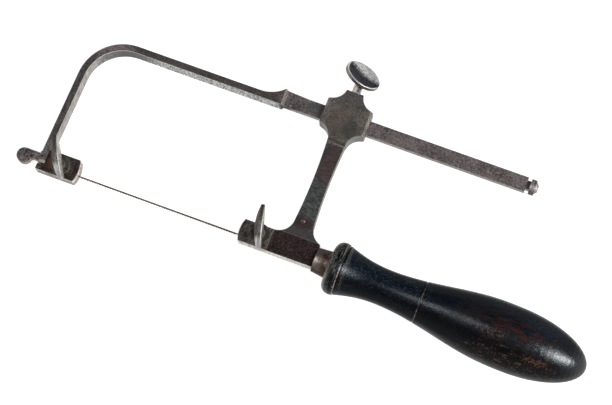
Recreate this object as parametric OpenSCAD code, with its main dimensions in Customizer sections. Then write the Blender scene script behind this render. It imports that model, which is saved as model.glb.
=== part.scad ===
// Adjustable fret saw with a sliding frame, lying on its side.
// The origin is where the blade leaves the rear jaw. +X runs along the blade to the handle,
// +Y from the blade to the frame's bar, +Z out of the face on which the clamp screws stand.

/* [Frame] */
// Clear depth from the blade to the frame's inner side
throat = 69.7; // [50:0.1:110]
// Free length of blade between the jaws, set by sliding the frame
blade_gap = 86.8; // [80:0.1:110]
// Thickness of the bow's strip, in the plane of the saw
strip_t = 3.4; // [2.4:0.1:4]
// Width of the bow's strip, across the saw
strip_w = 10.4; // [7.8:0.1:11]
// Outer radius of the bow's corner
corner_r = 24; // [14:1:32]
// Lean of the front leg
leg_lean = 1.9; // [0:0.1:4]
// Length of the front jaw, from its blade end to the leg's foot
front_jaw_l = 17.5; // [16:0.5:24]
// Thickness of the leg's foot, along the saw
foot_t = 3.8; // [3.4:0.1:8]
// Height of the front jaw, in the plane of the saw
front_jaw_h = 11.6; // [9.5:0.1:13]

/* [Tail] */
// Radius of the knob on the tail
knob_r = 3.9; // [3:0.1:5]
// Reach of the knob's centre in front of the leg's foot
knob_reach = 8.9; // [6:0.1:12]

/* [Bar] */
// Length from the front jaw's blade end to the bar's rear end
bar_reach = 213.3; // [190:0.1:260]
// Length from the front jaw's blade end to the peak of the shoulder
shoulder_reach = 83.2; // [60:0.1:88]
// Height of the bar, in the plane of the saw
bar_h = 7.7; // [6:0.1:10]
// Thickness of the bar, across the saw
bar_t = 3.8; // [3:0.1:5]
// Height of the shoulder's peak over the bar
shoulder_h = 0.7; // [0.6:0.1:2.4]
// Diameter of the stop button on the bar's end
stop_d = 8.1; // [6.5:0.1:10]
// Thickness of the stop button's flange
stop_t = 2.8; // [2:0.1:4]

/* [Sliding block] */
// Distance from the rear blade exit to the block's centre
block_x = 29.8; // [27:0.1:40]
// Width of the block along the bar
block_w = 24; // [20:0.5:30]
// Thickness of the block across the saw
block_t = 10.8; // [9.5:0.1:14]
// Radius of the four scooped corners
scoop_r = 7.9; // [6.5:0.1:8.5]
// Wall of the block under the bar
wall_under = 1.9; // [1.4:0.1:3]
// Wall of the block's side lobes over the bar
wall_over = 3.8; // [3:0.1:5]

/* [Stem and arm] */
// Width of the stem at its top
stem_top_w = 9.5; // [7:0.1:9.6]
// Width of the stem at its foot
stem_foot_w = 10.1; // [8:0.1:11]
// Hollow of each side of the stem between its foot and its top
stem_hollow = 0.85; // [0.2:0.05:1.4]
// Length of the arm from the stem to the collar
arm_back_l = 6.2; // [5:0.1:14]
// Thickness of stem and arm across the saw
arm_t = 8; // [7.2:0.1:10]
// Height of the lower arm
arm_h = 11.5; // [10.5:0.1:14]
// Radius where the stem flares into the arm, on the blade's side
flare_r = 8.3; // [5:0.1:10]
// Diameter of the stem's cross pin
pin_d = 2; // [1.5:0.1:2.6]

/* [Clamps] */
// Length of the rear clamp plate and of the step that it lies in
rear_plate_l = 16.1; // [15:0.1:18]
// Thickness of both clamp plates
plate_t = 4; // [3:0.1:5]
// Radius of the rounded blade end of both jaws
jaw_end_r = 15.6; // [12:0.1:30]
// Diameter of the washers
washer_d = 9.6; // [8:0.1:10.5]
// Thickness of the washers
washer_t = 1; // [0.6:0.1:1.6]

/* [Thumb screws] */
// Diameter of the screw shanks
shank_d = 3.9; // [3:0.1:4.2]
// Diameter of the clamp screws' dished heads
head_d = 22.6; // [18:0.1:24]
// Height of a clamp screw's head centre over its washer
head_rise = 13.8; // [13.4:0.1:18]
// Diameter of the block screw's dished head
block_head_d = 19.6; // [16:0.1:24]
// Height of the block screw's head centre over the block
block_head_rise = 11.2; // [10.5:0.1:16]
// Thickness of a head at its rim
rim_t = 1.8; // [1:0.1:2.2]
// Bulge of a head's back
bulge = 2.3; // [1:0.1:2.4]
// Depth of a head's dish
dish = 1.4; // [0.8:0.1:1.8]

/* [Blade] */
// Height of the blade, teeth included
blade_h = 1; // [0.6:0.1:1.6]
// Thickness of the blade
blade_t = 0.3; // [0.2:0.05:0.5]
// Pitch of the teeth
tooth_pitch = 1.4; // [1:0.1:2.4]

/* [Handle] */
// Length of the wooden handle
handle_l = 136; // [110:1:160]
// Diameter of the front bead
bead_d = 27.4; // [24:0.2:32]
// Diameter of the waist
waist_d = 18.6; // [16:0.2:22]
// Diameter of the bulb
bulb_d = 33.3; // [28:0.1:40]
// Droop of the handle against the blade
droop = 2.2; // [0:0.1:4]
// Length of the iron collar
collar_l = 7.5; // [5:0.1:10]
// Diameter of the collar at the arm
collar_d = 12.6; // [11.5:0.1:14]
// Diameter of the collar at the handle
collar_wide_d = 14.2; // [13:0.1:16]
// Length of the tang inside the handle
tang_l = 62; // [40:1:80]

/* [Hidden] */

// Fits and cuts
run_gap = 0.05;
cut = 1;
round_fn = 96;
arc_steps = 12;
// What a tangent circle is made larger by, so that it crosses the faces that it runs into
tangent_lap = 0.002;

// Jaws: the blade lies between two faces, half a blade's thickness from the middle plane
jaw_z = blade_t / 2;
front_x = -blade_gap;
arm_low_share = 0.296;
arm_y0 = -arm_low_share * arm_h;
arm_y1 = arm_y0 + arm_h;
front_low_share = 0.362;
front_y0 = -front_low_share * front_jaw_h;
front_y1 = front_y0 + front_jaw_h;
jaw_back = 0.44 * strip_w;
plate_gap = run_gap;

// Leg and corner of the bow
foot_x1 = front_x - front_jaw_l;
foot_x0 = foot_x1 - foot_t;
foot_y0 = -0.055 * front_jaw_h;
foot_top_share = 0.795;
foot_y1 = front_y0 + foot_top_share * front_jaw_h;
leg_set = (foot_t - strip_t) / 2;
leg_x = foot_x0 + leg_set;
corner_y = throat + strip_t - corner_r;
tangent_y = corner_y + corner_r * sin(leg_lean);
corner_x = leg_x + corner_r * cos(leg_lean) + tangent_y * tan(leg_lean);
leg_l = tangent_y / cos(leg_lean);

// Bar and shoulder: the bar's underside lies a little above the strip's
bar_set = 0.3;
bar_y0 = throat + bar_set;
bar_y = bar_y0 + bar_h / 2;
bar_y1 = bar_y0 + bar_h;
bar_end = front_x + bar_reach;
peak_x = front_x + shoulder_reach;
peak_y = bar_y1 + shoulder_h;
rise = peak_y - throat - strip_t;
run_share = 2.3;
rise_run = run_share * rise;
rise_r = (rise_run * rise_run + rise * rise) / (2 * rise);
fall_run = 18 * shoulder_h;
taper_l = 0.18 * (strip_w - bar_t);
peak_tip = strip_t / 8;

// Neck and stop button at the bar's end
neck_l = 0.48 * bar_t;
neck_h = 0.58 * bar_h;
stop_x = bar_end + neck_l;
stop_pin_r = 0.3 * bar_t;
stop_pin_l = 1.6 * bar_h;
stop_dome = 0.5 * stop_t;

// Sliding block
block_y0 = bar_y0 - wall_under;
block_y1 = bar_y1 + wall_over;
scoop_shift = 0.3;
lobe_top = block_y1 + 0.86 * scoop_r;
waist_y = block_y0 - scoop_r;
bevel = 0.11 * block_t;
thick_step = (block_t - arm_t) / 2;
slot_t = bar_t + 2 * run_gap;
slot_h = bar_h + 2 * run_gap;

// Shoe between the block screw and the bar
shoe_t = 1.2;
shoe_lift = 1.6;
shoe_l = 8;
shoe_w = bar_t - 2 * run_gap;
pocket_y1 = bar_y1 + shoe_t + shoe_lift;

// Stem, its seam with the arm and the tenon in it
stem_offset = 0.55;
stem_top_offset = 0.15;
stem_x = block_x - stem_offset;
stem_left_foot = stem_x - stem_foot_w / 2;
stem_right_foot = stem_x + stem_foot_w / 2;
stem_steps = 10;
arm_l = stem_right_foot + arm_back_l;
back_flare_r = 1.08 * flare_r;
seam_rise = 0.6;
seam_y = arm_y1 + seam_rise;
tenon_w = 0.56 * stem_foot_w;
tenon_h = 12;
tenon_t = 0.5 * arm_t;
pin_set = 0.85;
pin_x = stem_x - pin_set;
pin_y = seam_y + 0.7 * tenon_h;

// Clamp screws
rear_screw_x = 0.66 * rear_plate_l;
rear_screw_y = arm_y0 + 0.614 * arm_h;
front_screw_x = front_x - 0.55 * front_jaw_l;
front_screw_y = front_y0 + 0.51 * front_jaw_h;
rear_turn = 14.3;
front_turn = 29;
washer_z = jaw_z + plate_t;
seat_z = washer_z + washer_t;
bore_r = shank_d / 2 + run_gap;
loose_gap = 0.4;
loose_r = shank_d / 2 + loose_gap;
neck_r = 0.66 * shank_d;
neck_tip_r = 0.45 * neck_r;
lip_share = 0.1;
side_lean = 92;
side_set = 1;
heel_l = 1.3;
tongue_gap = 0.6;
tongue_y = foot_y0 - tongue_gap;

// Block screw: its dished head is canted on the shank and turned to the viewer
block_lean = 48.9;
block_turn = -63.5;
block_neck_r = 0.66 * shank_d;
block_tip_r = 0.95 * block_neck_r;

// Blade
blade_set = 0.5;
blade_front = front_screw_x + shank_d / 2 + blade_set;
blade_tail = 0.37 * rear_plate_l;
tooth_h = 0.35 * blade_h;

// Handle profile: stations as shares of the handle's length
handle_y = 1.5;
bead_share = 0.034;
bead_end_share = 0.052;
waist_share = 0.213;
bulb_share = 0.676;
flat_share = 0.713;
groove_shares = [0.052, 0.357];
groove_r = 0.45;
front_r = 0.71 * bead_d / 2;
bead_neck_r = front_r + (bead_d / 2 - front_r)
    * sqrt(1 - pow((bead_end_share - bead_share) / bead_share, 2));
profile_steps = 16;

// Tang
tang_r = 0.32 * collar_d;
tang_root = 1.35 * tang_r;
tang_tip = 0.4 * tang_root;

// Plain helpers

// Puts children into the handle's own frame: x runs along its axis from the arm's end
module along_handle() {
    translate([arm_l, handle_y, 0]) rotate([0, 0, -droop]) children();
}

// Revolves a profile of [radius, place] about the handle's axis
module turn_x(points) {
    rotate([0, 90, 0]) rotate_extrude($fn = round_fn) polygon(points);
}

// Extrudes a flat outline through the middle plane
module slab(t) {
    translate([0, 0, -t / 2]) linear_extrude(t) children();
}

// Outline with a rounded end at the blade's exit, the bulge facing -X
module jaw_outline(l, y0, y1) {
    intersection() {
        translate([0, y0]) square([l, y1 - y0]);
        translate([jaw_end_r, (y0 + y1) / 2]) circle(jaw_end_r, $fn = round_fn);
    }
    translate([l / 2, y0]) square([l / 2, y1 - y0]);
}

// Bow

// Everything inside a face of leg, corner and strip, r from the corner's centre, which is the
// origin; wide is how far it goes to the right of the leg, more lengthens it at its open ends
module inside_face(r, wide, more) {
    circle(r + tangent_lap, $fn = round_fn);
    rotate(-leg_lean) translate([-r, -leg_l - more]) square([r + wide, leg_l + more]);
    translate([0, -wide]) square([peak_x - corner_x + more, r + wide]);
}

// Side view of leg, corner and strip
module strip_outline() {
    translate([corner_x, corner_y]) difference() {
        inside_face(corner_r, 0, 0);
        inside_face(corner_r - strip_t, corner_r + cut, cut);
    }
    translate([foot_x0, foot_y0]) square([foot_t, foot_y1 - foot_y0]);
}

// Side view of the shoulder and the bar
module bar_outline() {
    difference() {
        polygon([[peak_x - rise_run, throat], [peak_x - rise_run, throat + strip_t],
            [peak_x - peak_tip, peak_y], [peak_x + peak_tip, peak_y], [peak_x + fall_run, bar_y1],
            [bar_end, bar_y1], [bar_end, bar_y0], [peak_x + taper_l, bar_y0], [peak_x, throat]]);
        translate([peak_x - rise_run, throat + strip_t + rise_r])
            circle(rise_r + tangent_lap, $fn = round_fn);
    }
    translate([peak_x - rise_run, throat]) square([rise_run, strip_t]);
    translate([bar_end - cut, bar_y - neck_h / 2]) square([neck_l + cut, neck_h]);
}

// Plan view of strip and bar, the strip wide and the bar thin
module width_outline() {
    polygon([[foot_x0 - cut, -strip_w / 2], [peak_x, -strip_w / 2], [peak_x + taper_l, -bar_t / 2],
        [stop_x, -bar_t / 2], [stop_x, bar_t / 2], [peak_x + taper_l, bar_t / 2],
        [peak_x, strip_w / 2], [foot_x0 - cut, strip_w / 2]]);
}

// Tail with its round knob and the hooked notch under it
module tail_outline() {
    knob_x = foot_x0 - knob_reach;
    knob_y = foot_y1 - knob_r;
    notch_r = 0.84 * knob_r;
    notch_rise = 0.6 * notch_r;
    translate([knob_x, knob_y]) circle(knob_r, $fn = round_fn);
    difference() {
        translate([knob_x, knob_y - knob_r / 2]) square([knob_reach + foot_t / 2, 1.5 * knob_r]);
        translate([foot_x0 - notch_r, front_y0 + notch_rise]) circle(notch_r, $fn = round_fn);
        translate([knob_x + knob_r, front_y0 - cut])
            square([knob_reach - knob_r, cut + notch_rise]);
    }
}

// Fixed front jaw, mirrored so that its rounded end faces the blade
module front_jaw_outline(l) {
    translate([front_x, 0]) mirror([1, 0]) jaw_outline(l, front_y0, front_y1);
}

module bow() {
    color([0.3, 0.28, 0.27]) difference() {
        union() {
            intersection() {
                slab(strip_w) union() {
                    strip_outline();
                    bar_outline();
                }
                translate([0, front_y0, 0]) rotate([-90, 0, 0])
                    linear_extrude(peak_y - front_y0 + cut) width_outline();
            }
            translate([0, 0, -jaw_back]) linear_extrude(jaw_back - jaw_z) {
                front_jaw_outline(front_jaw_l + foot_t);
                tail_outline();
            }
        }
        translate([front_screw_x, front_screw_y, -strip_w / 2 - cut])
            cylinder(r = bore_r, h = strip_w, $fn = round_fn);
        translate([stop_x - stop_pin_l, bar_y, 0]) rotate([0, 90, 0])
            cylinder(r = stop_pin_r + run_gap, h = stop_pin_l + cut, $fn = round_fn);
    }
}

module end_stop() {
    color([0.36, 0.33, 0.32]) translate([stop_x, bar_y, 0]) rotate([0, 90, 0]) union() {
        cylinder(d = stop_d, h = stop_t, $fn = round_fn);
        translate([0, 0, stop_t])
            cylinder(d1 = 0.8 * stop_d, d2 = 0.45 * stop_d, h = stop_dome, $fn = round_fn);
        translate([0, 0, -stop_pin_l])
            cylinder(r = stop_pin_r, h = stop_pin_l + cut, $fn = round_fn);
    }
}

// Sliding block, stem and arm

// Cross-shaped block with four scooped corners
module block_outline() {
    scoop_x = block_w / 2 + scoop_shift;
    difference() {
        translate([block_x - block_w / 2, waist_y]) square([block_w, lobe_top - waist_y]);
        for (side = [-1, 1]) translate([block_x + side * scoop_x, 0]) {
            translate([0, block_y1 + scoop_r]) circle(scoop_r, $fn = round_fn);
            translate([side * scoop_shift, waist_y]) circle(scoop_r, $fn = round_fn);
        }
    }
}

// Material in an inner corner at the origin; side is 1 to the corner's right, -1 to its left
module fillet(r, side) {
    difference() {
        translate([side > 0 ? 0 : -r, 0]) square([r, r]);
        translate([side * r, r]) circle(r, $fn = round_fn);
    }
}

// Point on the stem's edge at a share of its height from the flare to the block
function stem_edge(s, side) = [
    block_x - stem_offset + (stem_offset - stem_top_offset) * s
        + side * ((stem_foot_w + (stem_top_w - stem_foot_w) * s) / 2 - 4 * stem_hollow * s * (1 - s)),
    arm_y1 + flare_r + (waist_y - arm_y1 - flare_r) * s];

// Side view of the stem, hollowed on both sides
module stem_outline() {
    right = [for (i = [0:stem_steps]) stem_edge(i / stem_steps, 1)];
    left = [for (i = [0:stem_steps]) stem_edge(1 - i / stem_steps, -1)];
    polygon(concat([[stem_left_foot, arm_y1 - cut], [stem_right_foot, arm_y1 - cut]], right,
        [right[stem_steps] + [0, cut], left[0] + [0, cut]], left));
}

// Side view of block, stem and arm together
module rear_outline() {
    block_outline();
    stem_outline();
    jaw_outline(arm_l, arm_y0, arm_y1);
    translate([stem_left_foot, arm_y1]) fillet(flare_r, -1);
    intersection() {
        translate([stem_right_foot, arm_y1]) fillet(back_flare_r, 1);
        translate([stem_right_foot, arm_y1]) square([arm_l - stem_right_foot, back_flare_r]);
    }
}

// End view: the block is thicker than the stem and steps down with a slope
module thick_outline() {
    polygon([[arm_y0 - cut, arm_t / 2], [waist_y, arm_t / 2], [waist_y + thick_step, block_t / 2],
        [lobe_top, block_t / 2], [lobe_top, -block_t / 2], [waist_y + thick_step, -block_t / 2],
        [waist_y, -arm_t / 2], [arm_y0 - cut, -arm_t / 2]]);
}

// Plan view of the block's bevelled side faces
module bevel_outline() {
    x = block_w / 2;
    z = block_t / 2;
    translate([block_x, 0]) polygon([[-x, bevel - z], [bevel - x, -z], [x - bevel, -z],
        [x, bevel - z], [x, z - bevel], [x - bevel, z], [bevel - x, z], [-x, z - bevel]]);
}

module rear_stem() {
    color([0.27, 0.26, 0.26]) difference() {
        intersection() {
            slab(block_t) rear_outline();
            translate([0, seam_y, 0]) rotate([-90, 0, 0]) linear_extrude(lobe_top) bevel_outline();
            rotate([90, 0, 90]) linear_extrude(block_x + block_w) thick_outline();
        }
        translate([block_x, bar_y, 0])
            cube([block_w + 2 * cut, slot_h, slot_t], center = true);
        translate([block_x - shoe_l / 2 - run_gap, bar_y, -slot_t / 2])
            cube([shoe_l + 2 * run_gap, pocket_y1 - bar_y, slot_t]);
        translate([block_x, bar_y, 0]) rotate([-90, 0, 0])
            cylinder(r = bore_r, h = lobe_top - bar_y + cut, $fn = round_fn);
        tenon(run_gap);
        translate([pin_x, pin_y, -arm_t])
            cylinder(r = pin_d / 2 + run_gap, h = 2 * arm_t, $fn = round_fn);
    }
}

// Tongue of the arm that stands in the stem's foot; gap widens it into its hole
module tenon(gap) {
    translate([stem_x - tenon_w / 2 - gap, seam_y - cut, -tenon_t / 2 - gap])
        cube([tenon_w + 2 * gap, tenon_h + cut + gap, tenon_t + 2 * gap]);
}

// Square tapered tang behind a round root, in the handle's frame
module tang() {
    x0 = collar_l;
    x1 = collar_l + tang_l;
    a = tang_root / 2;
    b = tang_tip / 2;
    rotate([0, 90, 0]) translate([0, 0, -cut])
        cylinder(r = tang_r, h = collar_l + cut, $fn = round_fn);
    intersection() {
        slab(tang_root) polygon([[x0, -a], [x1, -b], [x1, b], [x0, a]]);
        rotate([90, 0, 0]) slab(tang_root) polygon([[x0, -a], [x1, -b], [x1, b], [x0, a]]);
    }
}

module rear_arm() {
    color([0.2, 0.16, 0.16]) difference() {
        union() {
            difference() {
                slab(arm_t) intersection() {
                    union() {
                        rear_outline();
                        translate([arm_l - cut, arm_y0]) square([2 * cut, arm_h]);
                    }
                    translate([-cut, arm_y0 - cut])
                        square([arm_l + 2 * cut, seam_y - arm_y0 + cut]);
                }
                along_handle() translate([0, -arm_l, -arm_l]) cube(2 * arm_l);
            }
            tenon(0);
            along_handle() tang();
        }
        translate([-cut, arm_y0 - cut, -jaw_z]) cube([rear_plate_l + cut, arm_h + 2 * cut, arm_t]);
        translate([rear_screw_x, rear_screw_y, -arm_t])
            cylinder(r = bore_r, h = 2 * arm_t, $fn = round_fn);
        translate([pin_x, pin_y, -arm_t])
            cylinder(r = pin_d / 2 + run_gap, h = 2 * arm_t, $fn = round_fn);
    }
}

module stem_pin() {
    color([0.42, 0.38, 0.36]) translate([pin_x, pin_y, 0]) union() {
        slab(arm_t) circle(pin_d / 2, $fn = round_fn);
        for (side = [-1, 1]) scale([1, 1, side]) translate([0, 0, arm_t / 2])
            cylinder(d1 = pin_d, d2 = pin_d / 2, h = pin_d / 8, $fn = round_fn);
    }
}

module bar_shoe() {
    color([0.7, 0.55, 0.28]) translate([block_x - shoe_l / 2, bar_y1, -shoe_w / 2])
        cube([shoe_l, shoe_t, shoe_w]);
}

// Thumb screws

// Bowl of a head, from its middle to the lip
function bowl_points(r) = [for (i = [0:arc_steps]) let(s = i / arc_steps)
    [s * (1 - lip_share) * r, rim_t / 2 - dish * (1 - s * s)]];

// Dished disc, its rim in the plane z = rim_t / 2 and its bowl facing +Z
module dished_disc(r) {
    top = rim_t / 2;
    round_off = lip_share * r / 3;
    back = [for (i = [0:arc_steps]) let(s = 1 - i / arc_steps) [s * r, -top - bulge * (1 - s * s)]];
    rotate_extrude($fn = round_fn)
        polygon(concat(bowl_points(r), [[r - round_off, top], [r, top - round_off]], back));
}

// Everything in front of the disc's bowl, inside its rim
module bowl_space(r) {
    rotate_extrude($fn = round_fn) polygon(concat(bowl_points(r), [[r, rim_t / 2], [r, r], [0, r]]));
}

// Thumb screw on the plane z = 0: shank below, neck and canted head above; set is how far the
// head's middle lies in front of the neck
module thumb_screw(head_r, head_z, lean, turn, shank_l, foot_r, tip_r, set) {
    difference() {
        union() {
            cylinder(r1 = foot_r, r2 = tip_r, h = head_z, $fn = round_fn);
            translate([0, 0, head_z]) rotate([0, 0, turn]) rotate([0, lean, 0])
                translate([0, 0, set]) dished_disc(head_r);
        }
        translate([0, 0, head_z]) rotate([0, 0, turn]) rotate([0, lean, 0])
            translate([0, 0, set]) bowl_space(head_r);
    }
    translate([0, 0, -shank_l]) cylinder(d = shank_d, h = shank_l + cut, $fn = round_fn);
}

module block_screw() {
    color([0.45, 0.45, 0.48]) translate([block_x, lobe_top, 0]) rotate([-90, 0, 0])
        thumb_screw(block_head_d / 2, block_head_rise, block_lean, block_turn,
            lobe_top - bar_y1 - shoe_t, block_neck_r, block_tip_r, 0);
}

module front_screw() {
    color([0.42, 0.41, 0.4]) translate([front_screw_x, front_screw_y, seat_z])
        thumb_screw(head_d / 2, head_rise, side_lean, front_turn, seat_z + jaw_back - run_gap,
            neck_r, neck_tip_r, side_set);
}

module rear_screw() {
    color([0.42, 0.41, 0.4]) translate([rear_screw_x, rear_screw_y, seat_z])
        thumb_screw(head_d / 2, head_rise, side_lean, rear_turn, seat_z + arm_t / 2 - run_gap,
            neck_r, neck_tip_r, side_set);
}

// Washer under a clamp screw
module washer() {
    difference() {
        cylinder(d = washer_d, h = washer_t, $fn = round_fn);
        translate([0, 0, -cut]) cylinder(r = loose_r, h = washer_t + 2 * cut, $fn = round_fn);
    }
}

module front_washer() {
    color([0.34, 0.32, 0.3]) translate([front_screw_x, front_screw_y, washer_z]) washer();
}

module rear_washer() {
    color([0.34, 0.32, 0.3]) translate([rear_screw_x, rear_screw_y, washer_z]) washer();
}

// Clamp plates

module front_plate() {
    color([0.2, 0.17, 0.17]) difference() {
        translate([0, 0, jaw_z]) linear_extrude(plate_t) difference() {
            front_jaw_outline(front_jaw_l + foot_t);
            translate([foot_x0 - cut, tongue_y]) square([foot_t + cut + plate_gap, front_jaw_h]);
        }
        translate([front_screw_x, front_screw_y, 0])
            cylinder(r = loose_r, h = 2 * plate_t, $fn = round_fn);
    }
    color([0.2, 0.17, 0.17]) translate([foot_x0, front_y0, -jaw_z])
        cube([foot_t, tongue_y - front_y0, 2 * jaw_z + plate_t / 2]);
}

module rear_plate() {
    color([0.2, 0.17, 0.17]) difference() {
        translate([0, 0, jaw_z]) linear_extrude(plate_t)
            jaw_outline(rear_plate_l - plate_gap, arm_y0, arm_y1);
        translate([rear_screw_x, rear_screw_y, 0])
            cylinder(r = loose_r, h = 2 * plate_t, $fn = round_fn);
    }
    color([0.2, 0.17, 0.17]) translate([rear_plate_l - plate_gap - heel_l, arm_y0, -jaw_z])
        cube([heel_l, arm_h, 2 * jaw_z + plate_t / 2]);
}

// Blade, its teeth under the back and raked to cut on the pull
module blade() {
    teeth = round(blade_gap / tooth_pitch) - 2;
    x0 = front_x + (blade_gap - teeth * tooth_pitch) / 2;
    root = -blade_h / 2 + tooth_h;
    points = [for (i = [0:teeth - 1]) each [[x0 + i * tooth_pitch, root],
        [x0 + (i + 0.75) * tooth_pitch, -blade_h / 2]]];
    color([0.35, 0.28, 0.22]) slab(blade_t) polygon(concat([[blade_front, root]], points,
        [[x0 + teeth * tooth_pitch, root], [blade_tail, root], [blade_tail, blade_h / 2],
        [blade_front, blade_h / 2]]));
}

// Collar and handle

module collar() {
    color([0.36, 0.25, 0.2]) along_handle() difference() {
        rotate([0, 90, 0]) cylinder(d1 = collar_d, d2 = collar_wide_d, h = collar_l, $fn = round_fn);
        translate([-cut, 0, 0]) rotate([0, 90, 0])
            cylinder(r = tang_r + run_gap, h = collar_l + 2 * cut, $fn = round_fn);
    }
}

// Radius of the handle at a share of its length
function handle_radius(s) =
    s < bead_end_share
        ? front_r + (bead_d / 2 - front_r) * sqrt(1 - pow((s - bead_share) / bead_share, 2))
    : s < waist_share ? waist_d / 2 + (bead_neck_r - waist_d / 2)
        * pow((waist_share - s) / (waist_share - bead_end_share), 2)
    : s < bulb_share ? waist_d / 2 + (bulb_d - waist_d) / 2
        * (1 - cos(180 * (s - waist_share) / (bulb_share - waist_share))) / 2
    : s < flat_share ? bulb_d / 2
    : bulb_d / 2 * sqrt(max(0, 1 - pow((s - flat_share) / (1 - flat_share), 2)));

// Stations of the profile, closer together where it curves faster
handle_stations = concat(
    [for (i = [0:profile_steps]) bead_end_share * (1 - cos(90 * i / profile_steps))],
    [for (i = [1:profile_steps]) bead_end_share + (waist_share - bead_end_share) * i / profile_steps],
    [for (i = [1:profile_steps]) waist_share + (bulb_share - waist_share) * i / profile_steps],
    [for (i = [0:profile_steps]) flat_share + (1 - flat_share) * sin(90 * i / profile_steps)]);

module handle() {
    color([0.07, 0.07, 0.09]) along_handle() translate([collar_l, 0, 0]) difference() {
        turn_x(concat([[0, 0]], [for (s = handle_stations) [handle_radius(s), s * handle_l]]));
        for (s = groove_shares) rotate([0, 90, 0]) rotate_extrude($fn = round_fn)
            translate([handle_radius(s) + groove_r / 3, s * handle_l]) circle(groove_r, $fn = 16);
        rotate([0, 90, 0]) translate([0, 0, -cut])
            cylinder(r1 = norm([tang_root, tang_root]) / 2 + run_gap,
                r2 = norm([tang_tip, tang_tip]) / 2 + 2 * run_gap,
                h = tang_l + 2 * cut, $fn = round_fn);
    }
}

bow();
end_stop();
rear_stem();
rear_arm();
stem_pin();
bar_shoe();
block_screw();
front_plate();
front_washer();
front_screw();
rear_plate();
rear_washer();
rear_screw();
blade();
collar();
handle();
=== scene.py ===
"""Looks of the fret saw: materials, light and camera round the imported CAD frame, in metres."""

import math

import bpy
from mathutils import Matrix, Vector

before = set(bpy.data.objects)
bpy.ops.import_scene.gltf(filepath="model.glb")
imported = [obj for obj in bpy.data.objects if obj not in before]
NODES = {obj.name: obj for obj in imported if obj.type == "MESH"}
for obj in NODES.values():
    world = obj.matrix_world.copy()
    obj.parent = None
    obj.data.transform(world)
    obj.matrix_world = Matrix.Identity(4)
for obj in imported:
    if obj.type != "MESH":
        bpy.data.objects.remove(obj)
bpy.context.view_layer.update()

MM = 0.001
WHITE = (1, 1, 1, 1)

# Camera: fitted to the photograph's vanishing lines
CAMERA_PLACE = (0.1236, -0.1691, 0.9018)
CAMERA_RIGHT = (0.9356, 0.3521, -0.0247)
CAMERA_UP = (-0.3368, 0.9117, 0.2350)
LENS_MM = 108.8
SENSOR_MM = 36.0

# Lights: name, place, size in metres and power in watts; both shine on the middle of the saw
LIGHTS = (
    ("window", (1.35, -0.13, 1.2), (0.5, 0.7), 34),
    ("strip", (-0.42, -0.1, 1.35), (0.2, 0.22), 1.9),
)
SAW_MIDDLE = (0.03, 0.03, 0)

# Sky: strength at the horizon and overhead, share left of it along the saw's sides, and where these
# changes start and end: in the upward and in the sideways part of a direction of length 1
SKY_HORIZON = 1.0
SKY_OVERHEAD = 0.07
SKY_SIDES = 0.16
SKY_UPWARD = (0.02, 0.65)
SKY_SIDEWAYS = (0.3, 0.85)

# Floor: half its width, its two greys and its own glow. The saw lies on the handle's bead, the bow's
# corner and the block screw's head
FLOOR_TOUCHES = (
    (0.05240472, 0.00228883, -0.01363706),
    (-0.09641553, 0.06848196, -0.0052),
    (0.03210302, 0.10498515, -0.00783539),
)
FLOOR_HALF = 12.0
FLOOR_GREYS = ((0.3, 0.3, 0.3), (0.32, 0.32, 0.32))
FLOOR_GLOW = 0.96

# Handle: x and y of its front end, and its slope
HANDLE_START = (48.0 * MM, 1.5 * MM)
HANDLE_SLOPE = math.radians(2.2)

# Its two scribed grooves: place along it, wall with the dust (-1 is the front one and 1 the rear one),
# and height up to which the dust reaches
GROOVES = ((7.07 * MM, -1, -2 * MM), (48.55 * MM, 1, 4 * MM))

# Block screw, in millimetres: a point of its shank's axis, its bowl's middle, and the bowl's direction
BLOCK_SCREW_AXIS = (29.8, 90, 0)
BOWL_MIDDLE = (30.17, 99.93, 0.72)
BOWL_WAY = (0.336, 0.657, 0.674)

# Rounded edges: the nodes that have them, the rounding's width, and the least turn of such an edge
ROUNDED = ("bow", "rear_stem", "rear_arm", "front_plate", "rear_plate")
ROUNDING = 0.3 * MM
SHARP_ANGLE = math.radians(32)

# Painted edges: samples of the shader that finds them, and its step from open face to edge
EDGE_SAMPLES = 6
EDGE_STEP = (0.02, 0.25)


# Node trees

def shade(colour, *factors):
    """The colour made lighter or darker by one factor, or by one for each of its three parts."""
    if len(factors) == 1:
        factors = factors * 3
    return tuple(f * c for f, c in zip(factors, colour))


def smooth_step(nodes, low, high, start, end):
    """A node whose result goes smoothly from start to end while its value goes from low to high."""
    n = nodes.new("ShaderNodeMapRange")
    n.interpolation_type = "SMOOTHSTEP"
    for name, number in zip(("From Min", "From Max", "To Min", "To Max"), (low, high, start, end)):
        n.inputs[name].default_value = number
    return n


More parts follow.
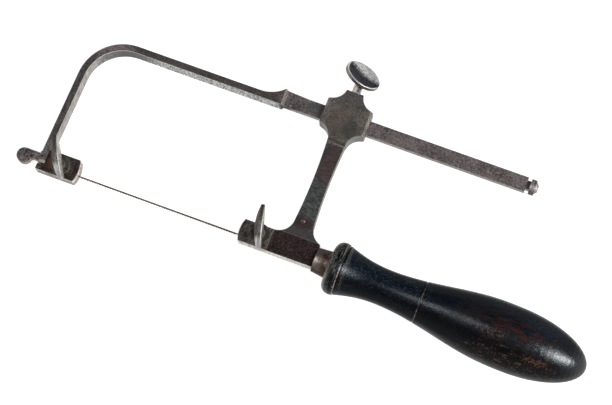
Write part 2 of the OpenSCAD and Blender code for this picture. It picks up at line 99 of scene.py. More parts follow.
class Tree:
    """A material's node tree: one colour that is painted over in layers, and its shader."""

    def __init__(self, name):
        self.material = bpy.data.materials.new(name)
        self.material.use_nodes = True
        self.nodes = self.material.node_tree.nodes
        self.links = self.material.node_tree.links
        self.nodes.clear()
        self.shader = self.nodes.new("ShaderNodeBsdfPrincipled")
        output = self.nodes.new("ShaderNodeOutputMaterial")
        self.links.new(self.shader.outputs["BSDF"], output.inputs["Surface"])
        coordinates = self.nodes.new("ShaderNodeTexCoord")
        self.place = coordinates.outputs["Object"]
        split = self.nodes.new("ShaderNodeSeparateXYZ")
        self.links.new(self.place, split.inputs[0])
        self.x, self.y, self.z = split.outputs
        facing = self.nodes.new("ShaderNodeSeparateXYZ")
        self.links.new(coordinates.outputs["Normal"], facing.inputs[0])
        self.to_x, self.to_y, self.to_z = facing.outputs
        self.colour = None

    def put(self, value, socket):
        """A link if the value is another node's output, and the socket's own value if not."""
        if isinstance(value, bpy.types.NodeSocket):
            self.links.new(value, socket)
        elif socket.type == "RGBA" and len(value) == 3:
            socket.default_value = (*value, 1)
        else:
            socket.default_value = value

    def math(self, kind, *values):
        n = self.nodes.new("ShaderNodeMath")
        n.operation = kind
        for value, socket in zip(values, n.inputs):
            self.put(value, socket)
        return n.outputs[0]

    def add(self, *values):
        total = values[0]
        for value in values[1:]:
            total = self.math("ADD", total, value)
        return total

    def minus(self, value, less):
        return self.math("SUBTRACT", value, less)

    def times(self, *values):
        total = values[0]
        for value in values[1:]:
            total = self.math("MULTIPLY", total, value)
        return total

    def flip(self, value):
        return self.minus(1.0, value)

    def absolute(self, value):
        return self.math("ABSOLUTE", value)

    def vector_math(self, kind, first, second=None):
        """The node of a sum on one or two vectors."""
        n = self.nodes.new("ShaderNodeVectorMath")
        n.operation = kind
        self.put(first, n.inputs[0])
        if second is not None:
            self.put(second, n.inputs[1])
        return n

    def mapping(self, vector, name, value):
        n = self.nodes.new("ShaderNodeMapping")
        self.links.new(vector, n.inputs["Vector"])
        n.inputs[name].default_value = value
        return n

    def scaled(self, scale, shift=(0, 0, 0), turn=None):
        """The place on the object, turned about the axes if asked, then scaled and shifted."""
        place = self.mapping(self.place, "Rotation", turn).outputs[0] if turn else self.place
        n = self.mapping(place, "Scale", scale)
        n.inputs["Location"].default_value = shift
        return n.outputs[0]

    def noise(self, size, detail=4, rough=0.55, stretch=(1, 1, 1), shift=(0, 0, 0), turn=None):
        """Cloud noise whose blotches are about size metres wide, stretched along the turned axes."""
        n = self.nodes.new("ShaderNodeTexNoise")
        scale = tuple(1 / (size * s) for s in stretch)
        self.links.new(self.scaled(scale, shift, turn), n.inputs["Vector"])
        n.inputs["Scale"].default_value = 1
        n.inputs["Detail"].default_value = detail
        n.inputs["Roughness"].default_value = rough
        return n.outputs["Fac"]

    def pits(self, size, shift=(0, 0, 0)):
        """Distance to the nearest of many points, which are about size metres apart."""
        n = self.nodes.new("ShaderNodeTexVoronoi")
        self.links.new(self.scaled((1 / size,) * 3, shift), n.inputs["Vector"])
        n.inputs["Scale"].default_value = 1
        return n.outputs["Distance"]

    def step(self, value, low, high, start=0.0, end=1.0):
        """A smooth step from start to end while the value goes from low to high."""
        n = smooth_step(self.nodes, low, high, start, end)
        self.put(value, n.inputs["Value"])
        return n.outputs[0]

    def step_mm(self, value, low, high):
        """A smooth step from 0 to 1 while a length goes from low to high, both in millimetres."""
        return self.step(value, low * MM, high * MM)

    def mix(self, share, a, b):
        n = self.nodes.new("ShaderNodeMix")
        n.data_type = "RGBA"
        self.put(share, n.inputs["Factor"])
        self.put(a, n.inputs["A"])
        self.put(b, n.inputs["B"])
        return n.outputs["Result"]

    def paint(self, colour, *shares):
        """Covers the colour so far by another, as far as the product of the shares says."""
        self.colour = self.mix(self.times(*shares), self.colour, colour)

    def zone(self, middle, size, soft=0.35, rag=0.5, grain=0.3, seed=0.0):
        """Near 1 inside an egg-shaped zone, given in millimetres, with a ragged edge."""
        scale = tuple(1 / (s * MM) for s in size)
        shift = tuple(-m / s for m, s in zip(middle, size))
        away = self.vector_math("LENGTH", self.scaled(scale, shift)).outputs["Value"]
        torn = self.noise(grain * min(size) * MM, detail=4, rough=0.6, shift=(seed, 2 * seed, 0))
        wavy = self.math("MULTIPLY_ADD", torn, 2 * rag, -rag)
        return self.step(self.add(away, wavy), 1 + soft, 1 - soft)

    def off_line(self, point, direction):
        """Distance from the line through a point, given in millimetres, along a unit vector."""
        away = self.vector_math("SUBTRACT", self.place, tuple(c * MM for c in point))
        cross = self.vector_math("CROSS_PRODUCT", away.outputs[0], direction)
        return self.vector_math("LENGTH", cross.outputs[0]).outputs["Value"]

    def edge(self, radius):
        """Near 1 where the surface turns within the radius, near 0 on open faces."""
        bevel = self.nodes.new("ShaderNodeBevel")
        bevel.samples = EDGE_SAMPLES
        bevel.inputs["Radius"].default_value = radius
        plain = self.nodes.new("ShaderNodeNewGeometry")
        dot = self.vector_math("DOT_PRODUCT", bevel.outputs[0], plain.outputs["Normal"])
        return self.step(self.flip(dot.outputs["Value"]), *EDGE_STEP)

    def bump(self, height, depth):
        """Bump whose height runs from 0 to 1 over depth metres."""
        n = self.nodes.new("ShaderNodeBump")
        n.inputs["Distance"].default_value = depth
        self.put(height, n.inputs["Height"])
        self.links.new(n.outputs[0], self.shader.inputs["Normal"])

    def finish(self, **values):
        """Gives the shader the colour and its other values, and returns the material."""
        self.put(self.colour, self.shader.inputs["Base Color"])
        for name, value in values.items():
            socket = "IOR" if name == "ior" else name.replace("_", " ").title()
            self.put(value, self.shader.inputs[socket])
        return self.material


class Iron(Tree):
    """Old steel: blotched and speckled patina on the broad faces, and its own colour on the sides."""

    def __init__(self, name, dark, light, side, seed, blotch=9 * MM, spread=(0.4, 0.6), stain=0.5):
        super().__init__(name)
        self.seed = seed
        clouds = self.noise(blotch, detail=5, shift=(seed, 0, 0))
        self.grains = self.noise(1.2 * MM, detail=5, rough=0.85, shift=(0, seed, 0))
        self.spots = self.times(self.add(clouds, self.grains), 0.5)
        self.colour = self.mix(self.step(self.spots, *spread), dark, light)
        self.add_specks(dark, light)
        self.on_side = self.step(self.absolute(self.to_z), 0.8, 0.35)
        self.on_face = self.flip(self.on_side)
        self.paint(self.side_colour(side, stain), self.on_side)

    def add_specks(self, dark, light):
        """Fine light and dark specks, round light dots and round dark holes."""
        seed = self.seed
        specks = self.noise(0.8 * MM, detail=3, rough=0.8, shift=(seed, seed, seed))
        self.paint(shade(light, 1.6), self.step(specks, 0.54, 0.62), 0.7)
        self.paint(shade(dark, 0.5), self.step(specks, 0.46, 0.38), 0.8)
        dots = self.step(self.pits(1.5 * MM, (seed, 0, seed)), 0.3, 0.12)
        self.paint(shade(light, 1.6), dots, 0.22)
        holes = self.step(self.pits(2.1 * MM, (0, seed, seed)), 0.28, 0.1)
        self.paint(shade(dark, 0.6), holes, 0.5)

    def side_colour(self, side, stain):
        """Colour of the sides: marks across the thickness, and brown stains as strong as stain says."""
        seed = self.seed
        marks = self.noise(0.6 * MM, detail=3, stretch=(1, 1, 10), shift=(0, 0, seed))
        worn = self.mix(self.step(marks, 0.36, 0.64), shade(side, 0.6), side)
        stains = self.noise(5 * MM, detail=5, rough=0.7, shift=(seed, seed, 0))
        share = self.times(self.step(stains, 0.5, 0.68), stain)
        return self.mix(share, worn, shade(side, 0.42, 0.34, 0.27))

    def add_blots(self):
        """Brown blots on the sides of the front jaw."""
        jaw = self.times(self.on_side, self.step_mm(self.x, -82, -88), self.step_mm(self.y, 10, 7))
        blots = self.noise(2.4 * MM, detail=4, rough=0.7, shift=(0, 0, 3))
        self.paint((0.22, 0.15, 0.12), jaw, self.step(blots, 0.5, 0.6), 0.75)

    def add_worn_edges(self, colour, amount=0.55, radius=0.5 * MM):
        """A line with gaps in it along every edge."""
        gaps = self.step(self.noise(3 * MM, detail=3, shift=(0, 0, self.seed)), 0.3, 0.6, 0.4, 1.0)
        self.paint(colour, self.edge(radius), gaps, amount)

    def done(self, rough=(0.56, 0.4), depth=0.05 * MM, metal=0.9, marks=None, rim=1.0):
        """The shader, with its pitted bump and, if given, more marks in it."""
        seed = self.seed
        height = self.add(self.grains, self.times(self.pits(1.1 * MM, (seed, seed, 0)), 0.5))
        if marks:
            height = self.add(height, marks)
        self.bump(height, depth)
        return self.finish(metallic=metal, specular_tint=(rim, rim, rim),
                           roughness=self.step(self.spots, 0.3, 0.7, *rough))


# Bow

def bow_iron():
    t = Iron("bow_iron", (0.12, 0.102, 0.1), (0.35, 0.297, 0.295), (0.5, 0.47, 0.43), seed=1.3)
    paint_strip(t)
    # Teal-grey stretch of the bar before the block
    t.paint((0.12, 0.14, 0.14), t.zone((14, 74, 2), (6, 3.4, 3), rag=0.4), 0.6)
    under, hatch = paint_inner_face(t)
    # A darker stretch of the bar's rear half
    t.paint((0.06, 0.053, 0.052), t.zone((78, 73, 5), (15, 4, 3), rag=0.6, seed=7), t.on_face, 0.75)
    # Painted shade: the strip's inner face dark at its end below the shoulder, where it steps back to the
    # bar
    t.paint((0.04, 0.03, 0.028), under, t.zone((-1.5, 69, 0), (3.2, 3, 9), rag=0.2))
    paint_foot(t)
    t.add_blots()
    paint_leg(t)
    t.add_worn_edges((0.62, 0.58, 0.53))
    return t.done(marks=t.times(hatch, under))


def paint_strip(t):
    """The strip and the leg are darker than the bar, but not the bend between them."""
    strip = t.times(t.step_mm(t.x, -2, -8), t.step_mm(t.y, 8, 16), t.on_face)
    bend = t.zone((-94, 68, 5), (11, 9, 4), rag=0.3)
    t.paint((0.06, 0.06, 0.057), strip, t.flip(bend), 0.6)


def paint_inner_face(t):
    """The strip's and the corner's inner face: grey, hatched by a file, painted darker in the corner as
    painted shade, and with a painted highlight along its polished front edge.

    Returns where that face is, and the file's hatching.
    """
    under = t.times(t.step(t.to_y, -0.3, -0.7), t.step_mm(t.y, 50, 58))
    hatch = t.noise(0.5 * MM, detail=2, rough=0.5, stretch=(1, 3, 3), shift=(3, 0, 0))
    filed = t.mix(t.step(hatch, 0.38, 0.62), (0.21, 0.21, 0.207), (0.84, 0.84, 0.82))
    before_shoulder = t.step_mm(t.add(t.x, t.times(t.z, 0.327)), -4.2, -4.9)
    t.paint(filed, under, before_shoulder)
    corner = t.zone((-92, 67, 0), (19, 12, 9), rag=0.15)
    # Painted shade: the inner face painted darker in the bow's corner
    t.paint((0.1, 0.1, 0.1), under, corner, 0.95)
    # Painted highlight along the polished front edge of the inner face, in the corner and along the rest of
    # the strip and bar
    inward = t.step(t.add(t.times(t.to_x, 0.6), t.times(t.to_y, -0.8)), 0.2, 0.5)
    polished_edge_highlight = t.times(inward, t.step_mm(t.z, 4.45, 4.75))
    t.paint((1.0, 0.98, 0.95), corner, polished_edge_highlight, 0.9)
    t.paint((0.95, 0.92, 0.88), t.step_mm(t.y, 8, 12), polished_edge_highlight, t.step(t.grains, 0.45, 0.55), 0.7)
    return under, hatch


def paint_foot(t):
    """Dark hollows and light specks on the knob and the foot."""
    foot = t.zone((-111, 2, 0), (14, 9, 9), rag=0.2)
    t.paint((0.34, 0.3, 0.29), foot, t.on_face, 0.35)
    t.paint((0.045, 0.034, 0.034), foot, t.step(t.pits(1.9 * MM), 0.5, 0.25), 0.7)
    t.paint((0.8, 0.72, 0.68), foot, t.step(t.pits(1.1 * MM, (4, 0, 0)), 0.36, 0.2), 0.85)


def paint_leg(t):
    """Slanting file marks on the leg's inner face, and forging streaks along its broad face."""
    inner = t.times(t.on_side, t.step(t.to_x, 0.3, 0.7), t.step_mm(t.x, -84, -90),
                    t.step_mm(t.y, 10, 14))
    slant = t.noise(0.6 * MM, detail=3, rough=0.7, stretch=(1, 1, 9), shift=(0, 0, 5), turn=(0.9, 0, 0))
    t.paint((0.2, 0.18, 0.16), inner, t.step(slant, 0.5, 0.4), 0.6)
    t.paint((0.95, 0.93, 0.88), inner, t.step(slant, 0.54, 0.64), 0.6)
    leg = t.times(t.zone((-101, 34, 5), (13, 28, 4), rag=0.1), t.on_face)
    streaks = t.noise(0.7 * MM, detail=4, rough=0.7, stretch=(1, 7, 1), shift=(0, 7, 0))
    t.paint((0.05, 0.045, 0.045), leg, t.step(streaks, 0.5, 0.36), 0.75)
    t.paint((0.5, 0.46, 0.43), leg, t.step(streaks, 0.56, 0.7), 0.5)
    # Painted highlight: a bright patch on the foot's lower edge, standing in for a flat that is only a
    # small rounding here
    t.paint((0.85, 0.8, 0.74), t.zone((-105.4, 0.1, 5), (2.3, 0.9, 2), rag=0.4, grain=0.6), 0.9)


# Stem and arm

def stem_iron():
    t = Iron("stem_iron", (0.105, 0.097, 0.085), (0.29, 0.262, 0.24), (0.34, 0.31, 0.28), seed=4.1,
             blotch=4 * MM)
    paint_block(t)
    paint_stem(t)
    t.add_worn_edges((0.5, 0.46, 0.4), amount=0.5)
    return t.done()


def paint_block(t):
    """Four patches on the block's broad face, and the colour of its scooped corners' sides."""
    on_block = t.step_mm(t.y, 58, 60)
    t.paint((0.2, 0.14, 0.12), on_block, t.zone((27, 72, 5), (5, 7, 5), rag=0.7), 0.45)
    t.paint((0.07, 0.073, 0.067), t.zone((34, 69, 5), (4, 5, 5), rag=0.7, seed=2), 0.6)
    t.paint((0.11, 0.11, 0.088), t.zone((30, 66, 5), (9, 4, 5), rag=0.6, seed=4), 0.35)
    t.paint((0.09, 0.085, 0.08), t.zone((30, 84, 5), (8, 5, 5), rag=0.7, seed=5), 0.35)
    t.paint((0.22, 0.2, 0.18), on_block, t.on_side, 0.6)


def paint_stem(t):
    """The stem: dark slate grey, reddish below the block and at the pin."""
    down = t.step_mm(t.y, 59.5, 58.5)
    filed = t.noise(0.6 * MM, detail=4, rough=0.7, stretch=(5, 1, 1), shift=(0, 6, 0))
    slate = t.mix(t.step(t.add(t.grains, filed), 0.85, 1.15), (0.055, 0.058, 0.06), (0.165, 0.17, 0.168))
    t.paint(slate, down, t.on_face)
    red = t.zone((30.5, 50, 5), (6, 11, 6), rag=0.7, grain=0.25, seed=1)
    t.paint((0.12, 0.066, 0.066), down, red, 0.6)
    # Light line where the stem leaves the block
    off = t.absolute(t.add(t.y, t.times(t.x, 0.12), -63.8 * MM))
    t.paint((0.42, 0.37, 0.33), t.step_mm(off, 0.6, 0.2), t.on_face, 0.5)
    # Dark red round the pin
    t.paint((0.06, 0.033, 0.032), t.zone((28, 16, 5), (7, 3.2, 4), rag=0.4, seed=3), 0.8)
    # Plain grey foot
    t.paint((0.085, 0.077, 0.075), t.step_mm(t.y, 14, 12), t.on_face, 0.8)


def arm_iron():
    # Painted reflection: the near-white side colour stands in for the bright floor mirrored in the arm's
    # sides
    t = Iron("arm_iron", (0.025, 0.016, 0.017), (0.09, 0.06, 0.06), (1.0, 0.98, 0.91), seed=2.7,
             spread=(0.4, 0.7), stain=0.4)
    streaks = t.noise(0.5 * MM, detail=3, stretch=(14, 1, 1), shift=(5, 0, 0))
    t.paint((0.14, 0.085, 0.078), t.step(streaks, 0.55, 0.75), t.on_face, 0.5)
    # The seat of the rear jaw, behind its plate, is greyer
    t.paint((0.13, 0.12, 0.11), t.step_mm(t.x, 17.5, 16), t.on_face, 0.5)
    t.add_worn_edges((0.5, 0.42, 0.36), amount=0.4)
    # The underside mirrors less, so that it shows bright
    return t.done(rough=(0.6, 0.45), metal=t.step(t.to_y, -0.8, -0.4, 0.35, 0.9))


# Clamps

def at_rear_jaw(t):
    """1 on the rear jaw's pieces and 0 on the front jaw's."""
    return t.step_mm(t.x, -60, -20)


def plate_iron():
    t = Iron("plate_iron", (0.036, 0.028, 0.026), (0.17, 0.14, 0.124), (0.95, 0.91, 0.83), seed=3.3,
             stain=0.9)
    # Rust and a brown patch on the front plate
    t.paint((0.22, 0.105, 0.07), t.zone((-101.5, 1, 4), (2.4, 3, 3), rag=0.5, seed=2), t.on_face, 0.8)
    t.paint((0.16, 0.12, 0.1), t.zone((-100, -4, 2), (3.5, 1.5, 6), rag=0.3), 0.5)
    # Slanting scratches, the light ones only on the rear plate
    scratches = t.noise(0.7 * MM, detail=4, rough=0.8, stretch=(1, 5, 1), shift=(2, 0, 0), turn=(0, 0, 0.5))
    t.paint((0.34, 0.3, 0.27), at_rear_jaw(t), t.on_face, t.step(scratches, 0.48, 0.58), 0.7)
    t.paint((0.02, 0.015, 0.014), t.step(scratches, 0.46, 0.38), t.on_face, 0.6)
    t.add_blots()
    t.add_worn_edges((0.75, 0.7, 0.62))
    return t.done()


def washer_iron():
    t = Iron("washer_iron", (0.055, 0.058, 0.052), (0.17, 0.17, 0.15), (0.6, 0.52, 0.38), seed=6.2,
             blotch=3 * MM)
    # The rear washer is darker
    t.paint((0.035, 0.032, 0.03), at_rear_jaw(t), 0.7)
    t.add_worn_edges((0.7, 0.6, 0.42), amount=0.8, radius=0.3 * MM)
    return t.done()


def side_screw_steel():
    """The two side thumb screws: dull on the left, and on the right the bowl painted bright as a painted
    highlight.
    """
    t = Iron("side_screw_steel", (0.11, 0.103, 0.096), (0.26, 0.245, 0.225), (0.15, 0.137, 0.125),
             seed=5.9, blotch=4 * MM)
    # Painted highlight: the faces turned to the right, the lit bowl, painted bright
    right = t.step(t.to_x, 0.35, 0.75)
    painted_bowl_light = t.mix(t.step(t.spots, 0.4, 0.6), (0.6, 0.565, 0.5), (1.0, 0.97, 0.9))
    t.paint(painted_bowl_light, right)
    streaks = t.noise(0.5 * MM, detail=3, rough=0.7, stretch=(1, 1, 7), shift=(0, 3, 0))
    t.paint((0.07, 0.065, 0.06), t.step(streaks, 0.5, 0.4), 0.6)
    t.paint((0.55, 0.52, 0.47), t.step(streaks, 0.56, 0.66), 0.5)
    # The left is light low down, and the shank is dark
    low = t.step_mm(t.y, -1.5, -4.5)
    t.paint((0.85, 0.82, 0.83), low, t.flip(right), t.step(streaks, 0.3, 0.5, 0.6, 1))
    t.paint((0.13, 0.125, 0.105), t.step_mm(t.z, 12, 8.5), 0.7)
    t.add_worn_edges((0.6, 0.57, 0.5), amount=0.5, radius=0.4 * MM)
    return t.done(rough=(0.6, 0.42), rim=0.5)


# Block screw

def block_screw_steel():
    """The block's thumb screw: a speckled bowl with painted shade on its near part, painted light on a band
    along its far side, a painted highlight on its rim and painted light on its neck.
    """
    t = Iron("block_screw_steel", (0.13, 0.11, 0.095), (0.34, 0.29, 0.26), (0.2, 0.165, 0.14), seed=8.8,
             blotch=4 * MM)
    # Painted light: the neck painted near white, as if lit from the side
    neck = t.times(t.step_mm(t.off_line(BLOCK_SCREW_AXIS, (0, 1, 0)), 3.2, 2.8),
                   t.step_mm(t.y, 96, 94))
    t.paint((0.95, 0.86, 0.77), neck, 0.95)
    to_bowl = t.add(*(t.times(part, way) for part, way in zip((t.to_x, t.to_y, t.to_z), BOWL_WAY)))
    bowl = t.step(to_bowl, 0.55, 0.75)
    lit_band = bowl_lit_band(t)
    # Painted shade and light on the hollow bowl: dark on its near part, light on the band
    dark = t.mix(t.step(t.grains, 0.4, 0.66), (0.025, 0.029, 0.038), (0.2, 0.21, 0.25))
    light = t.mix(t.step(t.grains, 0.4, 0.6), (0.42, 0.41, 0.42), (1.0, 0.97, 0.96))
    t.paint(t.mix(lit_band, dark, light), bowl)
    # Painted highlight: a bright line along the bowl's near rim
    rim = bowl_rim_highlight(t, to_bowl)
    t.paint((0.95, 0.92, 0.87), rim)
    # Neck, rim and band carry painted light and mirror little, so they show bright from every side
    pale = t.add(neck, rim, t.times(bowl, lit_band, 0.5))
    return t.done(rough=(0.5, 0.34), metal=t.step(pale, 0.1, 0.9, 0.9, 0.1))


def bowl_lit_band(t):
    """Goes from 0 in the bowl's painted shade to 1 in its painted light towards its far rim, with a torn
    border.
    """
    far = t.add(t.times(t.z, -1.0), t.times(t.minus(t.y, 98 * MM), 0.25))
    torn = t.times(t.add(t.grains, -0.5), 5 * MM)
    return t.step_mm(t.add(far, torn), 0.3, 4.2)


def bowl_rim_highlight(t, to_bowl):
    """Near 1 on the near side of the bowl's rim, where a bright line is painted as its highlight."""
    rim = t.times(t.step_mm(t.off_line(BOWL_MIDDLE, BOWL_WAY), 8.95, 9.2), t.step(to_bowl, 0.6, 0.8))
    near = t.add(t.times(t.minus(t.x, BOWL_MIDDLE[0] * MM), -0.43),
                 t.times(t.minus(t.y, BOWL_MIDDLE[1] * MM), -0.9))
    return t.times(rim, t.step_mm(near, -2, 2))


# Small pieces

def stop_steel():
    t = Iron("stop_steel", (0.28, 0.25, 0.25), (0.74, 0.67, 0.67), (0.45, 0.4, 0.4), seed=9.4,
             blotch=2.5 * MM)
    t.add_worn_edges((0.7, 0.65, 0.62))
    return t.done()


def pin_steel():
    t = Iron("pin_steel", (0.1, 0.07, 0.066), (0.2, 0.14, 0.13), (0.14, 0.09, 0.08), seed=7.1,
             blotch=2 * MM)
    return t.done()


def collar_iron():
    """Rusty iron: a grey patch, a painted highlight at its left end, a light patch, and reddish where it
    meets the handle.
    """
    t = Iron("collar_iron", (0.16, 0.12, 0.102), (0.56, 0.44, 0.38), (0.24, 0.16, 0.125), seed=6.6,
             blotch=3 * MM)
    t.paint((0.2, 0.21, 0.18), t.zone((42, 5, 5), (2.6, 3, 3), rag=0.6), 0.6)
    # Painted highlight along the collar's left end
    t.paint((0.85, 0.78, 0.7), t.zone((41.3, -0.5, 6), (1.3, 2.2, 3), rag=0.8), 0.9)
    t.paint((0.5, 0.4, 0.37), t.zone((43, -2.5, 5), (2.6, 2, 3), rag=0.8, seed=3), 0.6)
    t.paint((0.2, 0.085, 0.06), t.zone((46, 0, 0), (1.7, 8, 9), rag=0.4, seed=5), 0.5)
    t.add_worn_edges((0.45, 0.28, 0.18), amount=0.4)
    return t.done()


def blade_steel():
    t = Iron("blade_steel", (0.08, 0.05, 0.04), (0.25, 0.15, 0.11), (0.16, 0.1, 0.075), seed=7.7,
             blotch=3 * MM)
    return t.done(depth=0.02 * MM)


def shoe_brass():
    t = Iron("shoe_brass", (0.4, 0.28, 0.1), (0.65, 0.48, 0.22), (0.6, 0.44, 0.2), seed=8.5)
    return t.done(rough=(0.45, 0.35), metal=1.0)


# Handle

class Wood(Tree):
    """Ebonised wood: glossy black with fine grain, worn to brown and red on the bulb."""

    def __init__(self):
        super().__init__("ebonised_wood")
        away = self.minus(self.x, HANDLE_START[0])
        across = self.minus(self.y, HANDLE_START[1])
        # How far along the handle a place lies
        self.run = self.minus(self.times(away, math.cos(HANDLE_SLOPE)),
                              self.times(across, math.sin(HANDLE_SLOPE)))
        self.grain = self.noise(0.55 * MM, detail=5, rough=0.7, stretch=(18, 1, 1))
        self.clouds = self.noise(14 * MM, detail=4, rough=0.6)
        self.fine = self.noise(1.1 * MM, detail=5, rough=0.75, shift=(9, 0, 0))
        self.streaks = self.noise(1.3 * MM, detail=5, rough=0.7, stretch=(5, 1, 1), shift=(0, 9, 0))
        self.colour = self.mix(self.step(self.grain, 0.42, 0.66),
                               (0.0018, 0.003, 0.0058), (0.009, 0.0125, 0.019))

    def add_waist(self):
        """Slate-blue scuffs on the waist."""
        waist = self.times(self.step_mm(self.run, 4, 14), self.step_mm(self.run, 60, 46))
        self.paint((0.022, 0.044, 0.068), waist, self.step(self.fine, 0.5, 0.64), 0.7)
        self.paint((0.08, 0.09, 0.1), waist, self.step(self.streaks, 0.62, 0.7), 0.6)

    def add_bulb(self):
        """Brown, blue, red and tan patches on the bulb, and bare specks low on its side."""
        bulb = self.step_mm(self.run, 56, 78)
        self.paint((0.009, 0.006, 0.005), bulb, self.step(self.clouds, 0.45, 0.6), 0.4)
        brown = self.zone((147, -2, 14), (24, 8.5, 8), soft=0.6, rag=0.6, seed=5)
        self.paint((0.026, 0.017, 0.015), brown, self.step(self.streaks, 0.42, 0.62), 0.7)
        blue = self.zone((158, 5, 12), (10, 5, 6), rag=0.6, seed=4)
        self.paint((0.008, 0.02, 0.04), blue, self.step(self.fine, 0.46, 0.6), 0.7)
        red = self.zone((144, -0.5, 16), (13, 3.8, 6), rag=0.8, grain=0.35, seed=1)
        self.paint((0.042, 0.008, 0.004), red, self.step(self.streaks, 0.5, 0.58), 0.9)
        tan = self.zone((134, -5.5, 15), (8, 2.4, 6), rag=0.9, grain=0.4, seed=2)
        self.paint((0.11, 0.065, 0.04), tan, self.step(self.fine, 0.5, 0.6), 0.8)
        # Painted shade: the underside and the end painted black
        self.paint((0.0025, 0.0025, 0.003), self.step(self.to_y, -0.1, -0.55), 0.75)
        self.paint((0.0025, 0.003, 0.004), self.step(self.to_x, 0.25, 0.55), 0.75)
        low = self.zone((145, -14, 7), (25, 6, 10), rag=0.6, seed=3)
        self.paint((0.075, 0.04, 0.02), low, self.step(self.fine, 0.55, 0.63), 0.8)
        self.paint((0.16, 0.095, 0.055), low, self.step(self.streaks, 0.58, 0.66), 0.85)
        end = self.zone((159, -11.5, 12), (7, 1.8, 5), rag=0.9, grain=0.4, seed=6)
        self.paint((0.1, 0.045, 0.022), end, self.step(self.fine, 0.48, 0.58), 0.8)

    def add_bead(self):
        """Olive and tan scuffs and fine turned rings on the bead, and its worn front rim."""
        bead = self.step_mm(self.run, 11, 6)
        scuffs = self.noise(1.6 * MM, detail=5, rough=0.8, shift=(0, 4, 0))
        self.paint((0.045, 0.05, 0.045), bead, self.step(scuffs, 0.46, 0.6), 0.6)
        rings = self.noise(0.75 * MM, detail=2, rough=0.6, stretch=(1, 30, 30), shift=(0, 2, 0),
                           turn=(0, 0, HANDLE_SLOPE))
        self.paint((0.15, 0.15, 0.145), bead, self.step(rings, 0.5, 0.58), 0.75)
        self.paint((0.003, 0.003, 0.003), bead, self.step(rings, 0.46, 0.38), 0.8)
        self.paint((0.3, 0.26, 0.19), bead, self.step(scuffs, 0.57, 0.65), 0.9)
        front = self.step_mm(self.run, 2.6, 0.8)
        self.paint((0.3, 0.3, 0.25), front, self.step(scuffs, 0.42, 0.56), 0.7)

    def add_grooves(self):
        """Two dark scribed grooves, each with dust on one wall."""
        dust = self.step(self.noise(2.2 * MM, detail=4, shift=(0, 0, 8)), 0.38, 0.54, 0.2, 0.85)
        for groove, side, top in GROOVES:
            away = self.minus(self.run, groove)
            self.paint((0.0015, 0.001, 0.001), self.step_mm(self.absolute(away), 0.95, 0.6))
            wall = self.absolute(self.minus(away, side * 0.42 * MM))
            below = self.step(self.y, top + 1.5 * MM, top, 0.12, 1)
            self.paint((0.26, 0.21, 0.165), self.step_mm(wall, 0.34, 0.14), dust, below)

    def done(self):
        """The polish, which is dull on the sides that lie low and on the end."""
        self.bump(self.add(self.grain, self.times(self.fine, 0.8)), 0.07 * MM)
        spots = self.add(self.times(self.fine, 0.6), self.times(self.clouds, 0.4))
        rough = self.step(spots, 0.38, 0.62, 0.16, 0.32)
        dull = self.times(self.step(self.to_z, 0.6, 0.15), self.step(self.to_y, 0.6, 0.2))
        return self.finish(roughness=self.add(rough, self.times(dull, 0.2)), ior=1.52,
                           specular_tint=(0.9, 0.95, 1.0))


def wood():
    t = Wood()
    t.add_waist()
    t.add_bulb()
    t.add_bead()
    t.add_grooves()
    return t.done()


# CAD nodes

def dress(material, *names):
    """Gives CAD nodes their material."""
    for name in names:
        mesh = NODES[name].data
        mesh.materials.clear()
        mesh.materials.append(material)


def soften(name):
    """Rounds a CAD node's sharp edges a little; its own mesh stays as it is."""
    bevel = NODES[name].modifiers.new("worn_edges", "BEVEL")
    bevel.width = ROUNDING
    bevel.segments = 2
    bevel.limit_method = "ANGLE"
    bevel.angle_limit = SHARP_ANGLE
    bevel.harden_normals = False


# Light, floor and camera

def add_light(name, place, size, power):
    """A rectangular area light that shines on the saw's middle."""
    data = bpy.data.lights.new(name, "AREA")
    data.shape = "RECTANGLE"
    data.size, data.size_y = size
    data.energy = power
    light = bpy.data.objects.new(name, data)
    bpy.context.scene.collection.objects.link(light)
    light.location = place
    light.rotation_mode = "QUATERNION"
    light.rotation_quaternion = (Vector(SAW_MIDDLE) - Vector(place)).to_track_quat("-Z", "Y")


def floor_frame():
    """Origin and turn of the plane through the three points that the saw rests on."""
    a, b, c = (Vector(p) for p in FLOOR_TOUCHES)
    up = (b - a).cross(c - a).normalized()
    if up.z < 0:
        up = -up
    side = Vector((1, 0, 0))
    side = (side - up * side.dot(up)).normalized()
    turn = Matrix((side, up.cross(side), up)).transposed()
    return a, turn.to_quaternion()


def add_floor():
    """A white, softly lit sheet, so the saw stands out as on a light table."""
    mesh = bpy.data.meshes.new("floor")
    h = FLOOR_HALF
    mesh.from_pydata([(-h, -h, 0), (h, -h, 0), (h, h, 0), (-h, h, 0)], [], [(0, 1, 2, 3)])
    floor = bpy.data.objects.new("floor", mesh)
    bpy.context.scene.collection.objects.link(floor)
    floor.rotation_mode = "QUATERNION"
    floor.location, floor.rotation_quaternion = floor_frame()
    t = Tree("floor_paper")
    t.colour = t.mix(t.noise(2 * MM, detail=2), *FLOOR_GREYS)
    t.shader.inputs["Emission Color"].default_value = WHITE
    t.shader.inputs["Emission Strength"].default_value = FLOOR_GLOW
    floor.data.materials.append(t.finish(roughness=0.95))
    # The saw mirrors the surround in the floor's place, so its gloss keeps dark edges
    floor.visible_glossy = False


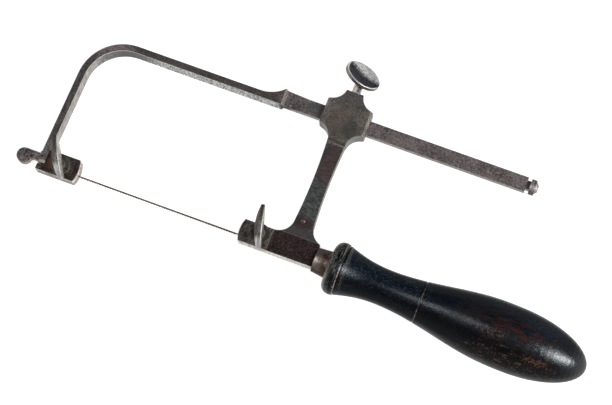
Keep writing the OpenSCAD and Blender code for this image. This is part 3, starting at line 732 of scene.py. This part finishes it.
def add_sky():
    """A pale surround: bright at the horizon and below, dim overhead and along the saw's sides."""
    world = bpy.data.worlds.new("studio")
    bpy.context.scene.world = world
    world.use_nodes = True
    nodes, links = world.node_tree.nodes, world.node_tree.links
    background = nodes["Background"]
    where = nodes.new("ShaderNodeTexCoord")
    split = nodes.new("ShaderNodeSeparateXYZ")
    links.new(where.outputs["Generated"], split.inputs[0])
    upward = smooth_step(nodes, *SKY_UPWARD, SKY_HORIZON, SKY_OVERHEAD)
    links.new(split.outputs["Z"], upward.inputs["Value"])
    across = nodes.new("ShaderNodeMath")
    across.operation = "ABSOLUTE"
    links.new(split.outputs["Y"], across.inputs[0])
    sideways = smooth_step(nodes, *SKY_SIDEWAYS, 1, SKY_SIDES)
    links.new(across.outputs[0], sideways.inputs["Value"])
    both = nodes.new("ShaderNodeMath")
    both.operation = "MULTIPLY"
    links.new(upward.outputs[0], both.inputs[0])
    links.new(sideways.outputs[0], both.inputs[1])
    links.new(both.outputs[0], background.inputs["Strength"])
    background.inputs["Color"].default_value = WHITE


def add_camera():
    data = bpy.data.cameras.new("camera")
    data.lens = LENS_MM
    data.sensor_width = SENSOR_MM
    camera = bpy.data.objects.new("camera", data)
    bpy.context.scene.collection.objects.link(camera)
    right = Vector(CAMERA_RIGHT).normalized()
    back = right.cross(Vector(CAMERA_UP)).normalized()
    turn = Matrix((right, back.cross(right), back)).transposed()
    camera.matrix_world = Matrix.Translation(CAMERA_PLACE) @ turn.to_4x4()
    bpy.context.scene.camera = camera


def add_studio():
    add_sky()
    for light in LIGHTS:
        add_light(*light)
    bpy.context.scene.view_settings.view_transform = "Standard"


# The saw

dress(bow_iron(), "bow")
dress(stem_iron(), "rear_stem")
dress(arm_iron(), "rear_arm")
dress(plate_iron(), "front_plate", "rear_plate")
dress(washer_iron(), "front_washer", "rear_washer")
dress(side_screw_steel(), "front_screw", "rear_screw")
dress(block_screw_steel(), "block_screw")
dress(stop_steel(), "end_stop")
dress(pin_steel(), "stem_pin")
dress(collar_iron(), "collar")
dress(blade_steel(), "blade")
dress(shoe_brass(), "bar_shoe")
dress(wood(), "handle")

for node in ROUNDED:
    soften(node)

add_floor()
add_studio()
add_camera()
